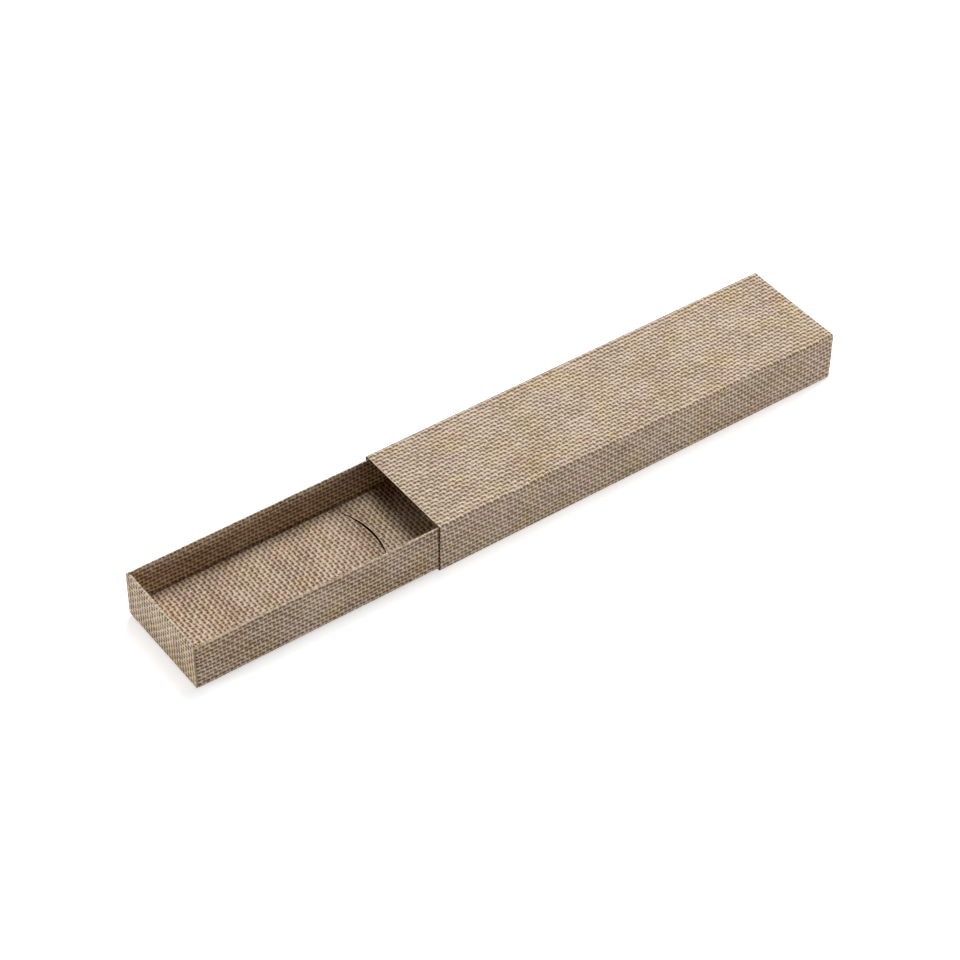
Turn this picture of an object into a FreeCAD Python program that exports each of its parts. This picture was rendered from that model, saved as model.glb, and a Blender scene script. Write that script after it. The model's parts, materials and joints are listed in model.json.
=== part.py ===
"""Slide box folded from three die-cut sheets of printed board.

The sleeve is a flat tube, open at both ends.  The tray slides through it and has double walls,
rolled over at the rim.  The insert is a low platform on four folded legs that stands loose in
the tray, with a crescent slit that frees a springy tongue.

Every panel of a sheet is a solid of its own.  Neighbouring panels of one sheet meet face to face
in the middle of the fold between them, and glued panels lie face to face.

Frame, in millimetres: the origin is the middle of the sleeve's underside, +X runs along the
sleeve, +Y across it and +Z up.  The tray is drawn out of the sleeve towards -X.
"""
import FreeCAD
import Part

import os
from collections import namedtuple

from FreeCAD import Vector

# Sleeve
SLEEVE_LENGTH = 176.0
SLEEVE_WIDTH = 45.0
SLEEVE_HEIGHT = 20.7
SLEEVE_BOARD = 0.5  # thickness of its board
SLEEVE_FOLD = 1.1  # outer radius of its four long folds
GLUE_FLAP_HEIGHT = 15.0
GLUE_FLAP_TAPER = 4.0  # how far the flap's ends slant back
SEAM_LIFT = 0.2  # the glued side's lower edge stays this far off the ground

# Fit of the tray in the sleeve
SIDE_PLAY = 0.3  # on each side
TOP_PLAY = 0.25
FLOOR_PLAY = 0.25
MOUTH_INSET = 0.5  # how far the closed tray's ends lie inside the mouths
DRAWN_OUT = 97.5  # how far the tray stands out of the sleeve's front mouth

# Tray
TRAY_BOARD = 0.45
TRAY_FOLD = 0.65  # outer radius of its right-angle folds
FOOT_PLAY = 0.1  # under the long inner walls
CORNER_RELIEF = 0.4  # how far the roll-overs stop short of each other at the rim's corners
CORNER_DROP = 0.1  # of the rim's corners below its roll-overs
CORNER_TAB_LENGTH = 15.0
CORNER_TAB_TAPER = 3.0
CORNER_TAB_PLAY = 0.3  # above and below a corner tab
LOCK_TAB_WIDTH = 9.0
LOCK_TAB_SPACING = 20.0  # between the middles of an end wall's two locking tabs
LOCK_SLOT_PLAY = 0.12  # round a locking tab in its slot

# Insert
INSERT_BOARD = 0.45
INSERT_FOLD = 0.65
INSERT_PLAY = 0.3  # to each wall of the tray
PLATFORM_HEIGHT = 5.0  # of the platform's top above the tray's base panel

# Crescent slit and its tongue
SLIT_FROM_FRONT = 85.95  # from the tray's front face to the slit's furthest point
SLIT_NEAR_MARGIN = 7.0  # from the platform's near edge to the slit's end
SLIT_FAR_MARGIN = 3.0
SLIT_RISE = 3.7
SLIT_GAP = 0.3
TONGUE_DROP = 12.0  # degrees that the tongue hangs below the platform
CREASE_GAP = 0.05  # between the tongue's round root and the platform

# Places that follow from the sizes
MOUTH_X = -SLEEVE_LENGTH / 2
SLEEVE_NEAR_Y = -SLEEVE_WIDTH / 2
SLEEVE_FAR_Y = SLEEVE_WIDTH / 2
FLAP_Y = SLEEVE_FAR_Y - SLEEVE_BOARD  # the glued face of the flap

TRAY_LENGTH = SLEEVE_LENGTH - 2 * MOUTH_INSET
TRAY_NEAR_Y = SLEEVE_NEAR_Y + SLEEVE_BOARD + SIDE_PLAY
TRAY_FAR_Y = FLAP_Y - SLEEVE_BOARD - SIDE_PLAY
TRAY_WIDTH = TRAY_FAR_Y - TRAY_NEAR_Y
TRAY_BOTTOM_Z = SLEEVE_BOARD + FLOOR_PLAY
TRAY_RIM_Z = SLEEVE_HEIGHT - SLEEVE_BOARD - TOP_PLAY
TRAY_HEIGHT = TRAY_RIM_Z - TRAY_BOTTOM_Z
TRAY_FRONT_X = MOUTH_X - DRAWN_OUT
TRAY_MIDDLE = Vector(TRAY_FRONT_X + TRAY_LENGTH / 2, (TRAY_NEAR_Y + TRAY_FAR_Y) / 2, 0)
BASE_TOP_Z = TRAY_BOTTOM_Z + TRAY_BOARD

SIDE_WALL = 2 * TRAY_BOARD  # outer and inner wall, glued
END_WALL = 3 * TRAY_BOARD  # outer wall, corner tabs and inner wall
SIDE_RIM = SIDE_WALL / 2  # outer radius of the roll-over
END_RIM = END_WALL / 2
SIDE_INNER_START = TRAY_BOARD + TRAY_FOLD + CORNER_RELIEF  # from the tray's front face
SIDE_INNER_FOOT_Z = TRAY_BOTTOM_Z + TRAY_FOLD + FOOT_PLAY  # clear of the fold's inside
END_INNER_START = SIDE_WALL + CORNER_RELIEF  # from the tray's near face

PLATFORM_Z = BASE_TOP_Z + PLATFORM_HEIGHT
INSERT_FRONT_X = TRAY_FRONT_X + END_WALL + INSERT_PLAY
INSERT_NEAR_Y = TRAY_NEAR_Y + SIDE_WALL + INSERT_PLAY
INSERT_LENGTH = TRAY_LENGTH - 2 * (END_WALL + INSERT_PLAY)
INSERT_WIDTH = TRAY_WIDTH - 2 * (SIDE_WALL + INSERT_PLAY)

SLIT_CHORD = INSERT_WIDTH - SLIT_NEAR_MARGIN - SLIT_FAR_MARGIN
SLIT_RADIUS = (SLIT_CHORD ** 2 / 4 + SLIT_RISE ** 2) / (2 * SLIT_RISE)
CREASE_X = TRAY_FRONT_X + SLIT_FROM_FRONT - SLIT_RISE
CREASE_Y = INSERT_NEAR_Y + SLIT_NEAR_MARGIN + SLIT_CHORD / 2
CREASE_Z = PLATFORM_Z - INSERT_BOARD / 2

ALONG = Vector(1, 0, 0)
ACROSS = Vector(0, 1, 0)
UP = Vector(0, 0, 1)

# A fold along a panel's edge: its outer radius, how far the board turns in degrees, and where it
# starts and ends along the edge.  Without start and end it is as long as the flat board beside it.
Fold = namedtuple("Fold", "radius turn start end", defaults=(90, None, None))


def half_fold(board, fold, place, angle):
    """Half of a fold, from a panel's flat edge to the middle of the bend.

    The board lies on z = 0 and bends up.  place is where the flat board ends, at the fold's
    start, and angle turns the fold's outward direction from +X to its edge of the panel.
    """
    length = fold.end - fold.start
    outline = Part.makePolygon([
        Vector(0, 0, 0),
        Vector(0, length, 0),
        Vector(0, length, board),
        Vector(0, 0, board),
        Vector(0, 0, 0),
    ])
    bend = Part.Face(outline).revolve(Vector(0, 0, fold.radius), -ACROSS, fold.turn / 2)
    bend.rotate(Vector(0, 0, 0), UP, angle)
    bend.translate(place)
    return bend


def panel(length, width, board, left=None, right=None, front=None, back=None):
    """A panel with its half folds, printed face down on z = 0 and folds bending up.

    length (X) and width (Y) run between the outer corners of the folds.  left and right are the
    folds at low and high X, front and back those at low and high Y.
    """
    def reach(fold):
        return fold.radius if fold else 0.0

    x0, x1 = reach(left), length - reach(right)
    y0, y1 = reach(front), width - reach(back)
    shape = Part.makeBox(x1 - x0, y1 - y0, board, Vector(x0, y0, 0))

    def span(fold, low, high):
        start = low if fold.start is None else fold.start
        end = high if fold.end is None else fold.end
        return fold._replace(start=start, end=end)

    bends = []
    if left:
        fold = span(left, y0, y1)
        bends.append(half_fold(board, fold, Vector(x0, fold.end, 0), 180))
    if right:
        fold = span(right, y0, y1)
        bends.append(half_fold(board, fold, Vector(x1, fold.start, 0), 0))
    if front:
        fold = span(front, x0, x1)
        bends.append(half_fold(board, fold, Vector(fold.start, y0, 0), -90))
    if back:
        fold = span(back, x0, x1)
        bends.append(half_fold(board, fold, Vector(fold.end, y1, 0), 90))
    return shape.fuse(bends).removeSplitter() if bends else shape


def stand(shape, corner, along, inward):
    """Move a panel so that its printed corner lies at corner, its X runs along and its Z inward."""
    side = inward.cross(along)
    matrix = FreeCAD.Matrix(
        along.x, side.x, inward.x, corner.x,
        along.y, side.y, inward.y, corner.y,
        along.z, side.z, inward.z, corner.z,
        0, 0, 0, 1,
    )
    moved = shape.copy()
    moved.Placement = FreeCAD.Placement(matrix)
    return moved


def prism(points, height):
    """A closed outline in the XY plane, raised along Z."""
    return Part.Face(Part.makePolygon(points + points[:1])).extrude(Vector(0, 0, height))


def other_side(shape):
    """The tray's or insert's matching piece on the far side."""
    return shape.mirror(TRAY_MIDDLE, ACROSS)


def other_end(shape):
    """The tray's or insert's matching piece at the rear end."""
    return shape.mirror(TRAY_MIDDLE, ALONG)


def sleeve():
    """Four panels and a glue flap inside the far side."""
    fold = Fold(SLEEVE_FOLD)
    length, board = SLEEVE_LENGTH, SLEEVE_BOARD
    top = panel(length, SLEEVE_WIDTH, board, front=fold, back=fold)
    near = panel(length, SLEEVE_HEIGHT, board, front=fold, back=fold)
    bottom = panel(length, FLAP_Y - SLEEVE_NEAR_Y, board, front=fold, back=fold)
    far = panel(length, SLEEVE_HEIGHT - SEAM_LIFT, board, back=fold)
    return {
        "sleeve_top_panel": stand(top, Vector(MOUTH_X, SLEEVE_FAR_Y, SLEEVE_HEIGHT), ALONG, -UP),
        "sleeve_near_side": stand(near, Vector(MOUTH_X, SLEEVE_NEAR_Y, SLEEVE_HEIGHT), ALONG, ACROSS),
        "sleeve_bottom_panel": stand(bottom, Vector(MOUTH_X, SLEEVE_NEAR_Y, 0), ALONG, UP),
        "sleeve_far_side": stand(far, Vector(MOUTH_X, SLEEVE_FAR_Y, SEAM_LIFT), ALONG, -ACROSS),
        "sleeve_glue_flap": stand(glue_flap(), Vector(MOUTH_X, FLAP_Y, 0), ALONG, -ACROSS),
    }


def glue_flap():
    """The flap that stands up from the bottom panel, with slanted ends so that it never snags."""
    flap = panel(SLEEVE_LENGTH, GLUE_FLAP_HEIGHT, SLEEVE_BOARD, front=Fold(SLEEVE_FOLD))
    slant = prism([
        Vector(0, SLEEVE_FOLD, 0),
        Vector(GLUE_FLAP_TAPER, GLUE_FLAP_HEIGHT, 0),
        Vector(0, GLUE_FLAP_HEIGHT, 0),
    ], SLEEVE_BOARD)
    middle = Vector(SLEEVE_LENGTH / 2, 0, 0)
    return flap.cut([slant, slant.mirror(middle, ALONG)])


def tray():
    """A base panel, four rolled-over double walls and the corner tabs between them."""
    front = Vector(TRAY_FRONT_X, TRAY_NEAR_Y, TRAY_BOTTOM_Z)
    near_outer = stand(
        side_outer_wall(),
        Vector(TRAY_FRONT_X + TRAY_BOARD, TRAY_NEAR_Y, TRAY_RIM_Z), ALONG, ACROSS)
    near_inner = stand(
        side_inner_wall(),
        Vector(TRAY_FRONT_X + SIDE_INNER_START, TRAY_NEAR_Y + SIDE_WALL, SIDE_INNER_FOOT_Z),
        ALONG, -ACROSS)
    front_outer = stand(end_outer_wall(), front, ACROSS, ALONG)
    front_inner = stand(
        end_inner_wall(),
        Vector(TRAY_FRONT_X + END_WALL, TRAY_NEAR_Y + END_INNER_START, TRAY_RIM_Z),
        ACROSS, -ALONG)
    tab = stand(
        corner_tab(),
        Vector(TRAY_FRONT_X + TRAY_BOARD, TRAY_NEAR_Y, TRAY_BOTTOM_Z + tab_bottom()),
        ACROSS, ALONG)
    return {
        "tray_base_panel": stand(base_panel(), front, ALONG, UP),
        "tray_near_outer_wall": near_outer,
        "tray_near_inner_wall": near_inner,
        "tray_far_outer_wall": other_side(near_outer),
        "tray_far_inner_wall": other_side(near_inner),
        "tray_front_outer_wall": front_outer,
        "tray_front_inner_wall": front_inner,
        "tray_rear_outer_wall": other_end(front_outer),
        "tray_rear_inner_wall": other_end(front_inner),
        "tray_front_near_corner_tab": tab,
        "tray_front_far_corner_tab": other_side(tab),
        "tray_rear_near_corner_tab": other_end(tab),
        "tray_rear_far_corner_tab": other_end(other_side(tab)),
    }


def tab_bottom():
    """Height of a corner tab's lower edge above the tray's underside."""
    return TRAY_FOLD + CORNER_TAB_PLAY


def tab_top():
    """Height of a corner tab's upper edge, just under the roll-over of the end wall."""
    return TRAY_HEIGHT - END_RIM - CORNER_TAB_PLAY


def base_panel():
    """The tray's floor, with slots for the locking tabs of both end walls."""
    side_start = TRAY_BOARD + TRAY_FOLD
    side = Fold(TRAY_FOLD, 90, side_start, TRAY_LENGTH - side_start)
    end = Fold(TRAY_FOLD)
    base = panel(TRAY_LENGTH, TRAY_WIDTH, TRAY_BOARD, left=end, right=end, front=side, back=side)
    slots = []
    for offset in (-LOCK_TAB_SPACING / 2, LOCK_TAB_SPACING / 2):
        slot = Part.makeBox(
            TRAY_BOARD + 2 * LOCK_SLOT_PLAY, LOCK_TAB_WIDTH + 2 * LOCK_SLOT_PLAY, TRAY_BOARD,
            Vector(
                SIDE_WALL - LOCK_SLOT_PLAY,
                TRAY_WIDTH / 2 + offset - LOCK_TAB_WIDTH / 2 - LOCK_SLOT_PLAY,
                0))
        slots += [slot, slot.mirror(Vector(TRAY_LENGTH / 2, 0, 0), ALONG)]
    return base.cut(slots)


def side_outer_wall():
    """A long wall's outer panel, rim first, with the vertical folds that carry the corner tabs."""
    length = TRAY_LENGTH - 2 * TRAY_BOARD
    rim_start = SIDE_INNER_START - TRAY_BOARD
    rim = Fold(SIDE_RIM, 180, rim_start, length - rim_start)
    corner = Fold(TRAY_FOLD, 90, CORNER_DROP, TRAY_HEIGHT - tab_bottom())
    wall = panel(
        length, TRAY_HEIGHT, TRAY_BOARD,
        left=corner, right=corner, front=rim, back=Fold(TRAY_FOLD))
    ear = Part.makeBox(
        rim_start - TRAY_FOLD, SIDE_RIM - CORNER_DROP, TRAY_BOARD,
        Vector(TRAY_FOLD, CORNER_DROP, 0))
    return wall.fuse([ear, ear.mirror(Vector(length / 2, 0, 0), ALONG)]).removeSplitter()


def side_inner_wall():
    """A long wall's inner panel, glued to the outer one, with its foot just above the base."""
    length = TRAY_LENGTH - 2 * SIDE_INNER_START
    return panel(length, TRAY_RIM_Z - SIDE_INNER_FOOT_Z, TRAY_BOARD, back=Fold(SIDE_RIM, 180))


def end_outer_wall():
    """A short wall's outer panel, standing up from the base panel over the tray's full width."""
    foot = Fold(TRAY_FOLD, 90, TRAY_FOLD, TRAY_WIDTH - TRAY_FOLD)
    rim = Fold(END_RIM, 180, END_INNER_START, TRAY_WIDTH - END_INNER_START)
    wall = panel(TRAY_WIDTH, TRAY_HEIGHT, TRAY_BOARD, front=foot, back=rim)
    ear = Part.makeBox(
        END_INNER_START, END_RIM - CORNER_DROP, TRAY_BOARD, Vector(0, TRAY_HEIGHT - END_RIM, 0))
    return wall.fuse([ear, ear.mirror(Vector(TRAY_WIDTH / 2, 0, 0), ALONG)]).removeSplitter()


def end_inner_wall():
    """A short wall's inner panel, rim first, tucked over the corner tabs and locked in the base."""
    width = TRAY_WIDTH - 2 * END_INNER_START
    height = TRAY_HEIGHT - TRAY_BOARD
    wall = panel(width, height, TRAY_BOARD, front=Fold(END_RIM, 180))
    tabs = [
        Part.makeBox(
            LOCK_TAB_WIDTH, TRAY_BOARD, TRAY_BOARD,
            Vector(width / 2 + offset - LOCK_TAB_WIDTH / 2, height, 0))
        for offset in (-LOCK_TAB_SPACING / 2, LOCK_TAB_SPACING / 2)
    ]
    return wall.fuse(tabs).removeSplitter()


def corner_tab():
    """A tab folded round the corner from a long wall, between the two panels of the end wall."""
    height = tab_top() - tab_bottom()
    fold = Fold(TRAY_FOLD, 90, 0, TRAY_HEIGHT - CORNER_DROP - tab_bottom())
    tab = panel(CORNER_TAB_LENGTH, height, TRAY_BOARD, left=fold)
    low_corner = prism([
        Vector(CORNER_TAB_LENGTH, 0, 0),
        Vector(CORNER_TAB_LENGTH, CORNER_TAB_TAPER, 0),
        Vector(CORNER_TAB_LENGTH - CORNER_TAB_TAPER, 0, 0),
    ], TRAY_BOARD)
    return tab.cut([low_corner, low_corner.mirror(Vector(0, height / 2, 0), ACROSS)])


def insert():
    """The platform, its four legs and the tongue."""
    corner = Vector(INSERT_FRONT_X, INSERT_NEAR_Y, PLATFORM_Z)
    near_leg = stand(
        leg(INSERT_LENGTH - 2 * INSERT_FOLD), corner + ALONG * INSERT_FOLD, ALONG, ACROSS)
    front_leg = stand(
        leg(INSERT_WIDTH - 2 * INSERT_FOLD),
        corner + ACROSS * (INSERT_WIDTH - INSERT_FOLD), -ACROSS, ALONG)
    return {
        "insert_platform": platform(),
        "insert_near_leg": near_leg,
        "insert_far_leg": other_side(near_leg),
        "insert_front_leg": front_leg,
        "insert_rear_leg": other_end(front_leg),
        "insert_tongue": tongue(),
    }


def leg(length):
    """A strip folded down from the platform's edge to the tray's base panel."""
    return panel(length, PLATFORM_HEIGHT, INSERT_BOARD, front=Fold(INSERT_FOLD))


def crescent(radius, start_x):
    """The prism inside the slit's arc, of the given radius, beyond start_x."""
    height = 4 * SLIT_RISE
    foot = PLATFORM_Z - height / 2
    centre = Vector(CREASE_X + SLIT_RISE - SLIT_RADIUS, CREASE_Y, foot)
    disc = Part.makeCylinder(radius, height, centre)
    beyond = Part.makeBox(
        2 * radius, 2 * radius, height, Vector(start_x, CREASE_Y - radius, foot))
    return disc.common(beyond)


def platform():
    """The insert's top panel, with the opening that the slit leaves round the tongue."""
    fold = Fold(INSERT_FOLD)
    sheet = panel(
        INSERT_LENGTH, INSERT_WIDTH, INSERT_BOARD, left=fold, right=fold, front=fold, back=fold)
    corner = Vector(INSERT_FRONT_X, INSERT_NEAR_Y + INSERT_WIDTH, PLATFORM_Z)
    root = CREASE_X - INSERT_BOARD / 2 - CREASE_GAP
    return stand(sheet, corner, ALONG, -UP).cut(crescent(SLIT_RADIUS + SLIT_GAP / 2, root))


def tongue():
    """The flap inside the slit, hanging a little, with its root rounded about the crease."""
    half_board = INSERT_BOARD / 2
    outline = crescent(SLIT_RADIUS - SLIT_GAP / 2, CREASE_X - half_board)
    crease = Vector(CREASE_X, CREASE_Y, CREASE_Z)
    flap = Part.makeBox(
        2 * SLIT_RISE, SLIT_CHORD, INSERT_BOARD, crease + Vector(0, -SLIT_CHORD / 2, -half_board))
    root = Part.makeCylinder(half_board, SLIT_CHORD, crease - ACROSS * (SLIT_CHORD / 2), ACROSS)
    hanging = flap.fuse(root).removeSplitter()
    hanging.rotate(crease, ACROSS, TONGUE_DROP)
    return hanging.common(outline)


def main():
    """Build every panel and write each one to a file named for it."""
    os.makedirs("parts", exist_ok=True)
    for name, shape in {**sleeve(), **tray(), **insert()}.items():
        if not shape.isValid() or len(shape.Solids) != 1:
            raise ValueError(f"{name} is not one valid solid")
        shape.Solids[0].exportStep(f"parts/{name}.step")


main()
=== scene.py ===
"""Looks of a slide box folded from three die-cut sheets of printed board.

The sleeve is a flat tube, the tray slides through it and has double walls rolled over at the
rim, and the insert is a low platform whose crescent slit frees a springy tongue.  Each sheet is
first laid out flat, as the die cuts it, with its woven print in flat coordinates.  Geometry Nodes
then fold every strip of it round its creases, and the strips are joined and given the board's
thickness.  Lengths are in metres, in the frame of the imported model.
"""

import json
import logging
import math
from collections.abc import Callable, Sequence
from dataclasses import dataclass, replace
from enum import Enum
from functools import partial
from itertools import product

import bmesh
import bpy
from mathutils import Euler, Matrix, Vector

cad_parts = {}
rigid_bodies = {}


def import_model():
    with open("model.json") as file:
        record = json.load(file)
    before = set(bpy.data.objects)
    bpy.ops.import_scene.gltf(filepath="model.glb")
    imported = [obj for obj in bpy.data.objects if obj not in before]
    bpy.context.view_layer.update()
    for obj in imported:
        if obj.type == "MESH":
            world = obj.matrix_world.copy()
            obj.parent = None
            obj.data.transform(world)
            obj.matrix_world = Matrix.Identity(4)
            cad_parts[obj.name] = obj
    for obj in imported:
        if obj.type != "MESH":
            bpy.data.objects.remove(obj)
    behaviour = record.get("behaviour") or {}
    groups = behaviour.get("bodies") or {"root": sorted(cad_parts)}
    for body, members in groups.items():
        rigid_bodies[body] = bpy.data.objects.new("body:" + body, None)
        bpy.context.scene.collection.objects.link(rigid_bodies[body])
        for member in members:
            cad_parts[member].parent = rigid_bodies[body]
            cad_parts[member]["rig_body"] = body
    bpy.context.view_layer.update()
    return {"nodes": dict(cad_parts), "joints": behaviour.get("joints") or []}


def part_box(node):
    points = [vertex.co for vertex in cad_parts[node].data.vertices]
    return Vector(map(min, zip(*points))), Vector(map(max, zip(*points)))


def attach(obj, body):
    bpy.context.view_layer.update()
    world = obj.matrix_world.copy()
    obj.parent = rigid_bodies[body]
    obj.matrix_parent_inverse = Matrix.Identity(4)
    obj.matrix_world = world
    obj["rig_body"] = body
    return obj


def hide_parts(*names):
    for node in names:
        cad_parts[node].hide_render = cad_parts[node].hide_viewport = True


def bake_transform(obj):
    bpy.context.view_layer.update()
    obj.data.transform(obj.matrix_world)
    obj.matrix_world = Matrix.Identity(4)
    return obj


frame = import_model()

log = logging.getLogger("slide_box")

MM = 0.001
PRINT_MAP = "Print"  # the UV map that holds a point's place on the flat sheet, in metres
WEAR_AND_HIGHLIGHT = "Worn"  # the attribute that is highest where a fold or lip is painted pale, as worn ink and painted highlight, and 0 on flat board
JOIN_DISTANCE = 0.01 * MM  # strips of one sheet meet within this
ROUNDING = 1e-6  # of a step, which a whole number of steps may seem to be off by
HAIR = JOIN_DISTANCE / 10  # of flat board between two folds, so that their arcs don't touch
QUARTER_TURN = (0.0, 0.0, math.radians(90))  # turns a strip to run across an end
NOISE_SPAN = (0.3, 0.7)  # where nearly all of a noise's values lie
PAPER_IOR = 1.45
PAPER_SHEEN = 0.2  # specular level: its fibres scatter most of what a smooth face would mirror
GRAIN_BUMP = 0.3  # share of the grain's height that shows
HALF = 0.5  # of a pitch, from a thread's middle to the middle of the gap beside it

Tree = bpy.types.NodeTree
Node = bpy.types.Node
Socket = bpy.types.NodeSocket
Material = bpy.types.Material
Piece = bpy.types.Object
Adder = Callable[..., Node]  # add_node for one tree
Place = tuple[float, float]
Triple = tuple[float, float, float]
Pattern = tuple[Socket, Node | float, Node, float]  # colour, roughness, grain and its depth


class Side(Enum):
    """The faces of a sheet of board, in the order of its material slots."""

    PRINTED = 0
    PLAIN = 1
    CUT = 2


class Wall(Enum):
    """Which of two matching walls or ends of the tray or insert, as a sign along its axis."""

    LOW = -1
    HIGH = 1


Finishes = dict[Side, Material]


def linear(hex_colour: str) -> tuple[float, float, float, float]:
    """Turn an sRGB hex colour into linear light.

    Args:
        hex_colour: six hex digits after a hash.

    Returns:
        Red, green, blue and an alpha of 1.
    """
    values = [int(hex_colour[i:i + 2], 16) / 255 for i in (1, 3, 5)]
    red, green, blue = (v / 12.92 if v <= 0.04045 else ((v + 0.055) / 1.055) ** 2.4 for v in values)
    return red, green, blue, 1.0


def configured(thing: bpy.types.bpy_struct, **settings: object) -> bpy.types.bpy_struct:
    """Set some of a new thing's properties.

    Args:
        thing: a node, a modifier, an object or any other of Blender's things.
        settings: the values, by their properties' names.

    Returns:
        The same thing.
    """
    for name, value in settings.items():
        setattr(thing, name, value)
    return thing


def add_node(tree: Tree, kind: str, inputs: dict | Sequence = (), **settings: object) -> Node:
    """Add a node with its settings and links.

    Args:
        tree: the tree that gets it.
        kind: Blender's name of the node's type, which may leave out ShaderNode.
        inputs: what its inputs get, in order, or by their names or numbers: a value, a socket
            to link, or a node whose first output is linked.
        settings: values of the node's own properties.

    Returns:
        The new node.
    """
    full_kind = kind if "Node" in kind else f"ShaderNode{kind}"
    node = configured(tree.nodes.new(full_kind), **settings)
    for key, value in inputs.items() if isinstance(inputs, dict) else enumerate(inputs):
        if isinstance(value, Node):
            value = value.outputs[0]
        if isinstance(value, Socket):
            tree.links.new(value, node.inputs[key])
        else:
            node.inputs[key].default_value = value
    return node


def span(side: str, limits: Place) -> dict[str, float]:
    """The two inputs of a Map Range node on one side of it, From or To."""
    return {f"{side} Min": limits[0], f"{side} Max": limits[1]}


def started(owner: Material | bpy.types.World) -> Adder:
    """Clear the node tree of a new material or world.

    Args:
        owner: the material or the world.

    Returns:
        What adds a node to that tree.
    """
    owner.use_nodes = True
    owner.node_tree.nodes.clear()
    return partial(add_node, owner.node_tree)


@dataclass(frozen=True)
class Paper:
    """What every face of the board has in common: a dull dielectric with a faint grain."""

    name: str

    def material(self) -> Material:
        """Build the material.

        Returns:
            The new material.
        """
        material = bpy.data.materials.new(self.name)
        add = started(material)
        colour, roughness, grain, depth = self.pattern(add)
        bump = add("Bump", {"Strength": GRAIN_BUMP, "Distance": depth, "Height": grain})
        surface = add("BsdfPrincipled", {
            "Base Color": colour, "Roughness": roughness, "IOR": PAPER_IOR,
            "Specular IOR Level": PAPER_SHEEN, "Normal": bump})
        add("OutputMaterial", {"Surface": surface})
        return material

    def pattern(self, add: Adder) -> Pattern:
        """Add the nodes of this paper's own pattern.

        Args:
            add: adds a node to the material.

        Returns:
            Its colour, its roughness, its grain and how deep the grain is.
        """
        raise NotImplementedError


@dataclass(frozen=True)
class Threads:
    """One of the weave's two sets of parallel threads."""

    pitch: float  # mm
    half_widths: Place  # the thinnest and the thickest, as shares of the pitch
    tones: Place  # where a thread passes under and over the other set
    phase: float  # radians, so that the two sets rise in turn


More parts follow.
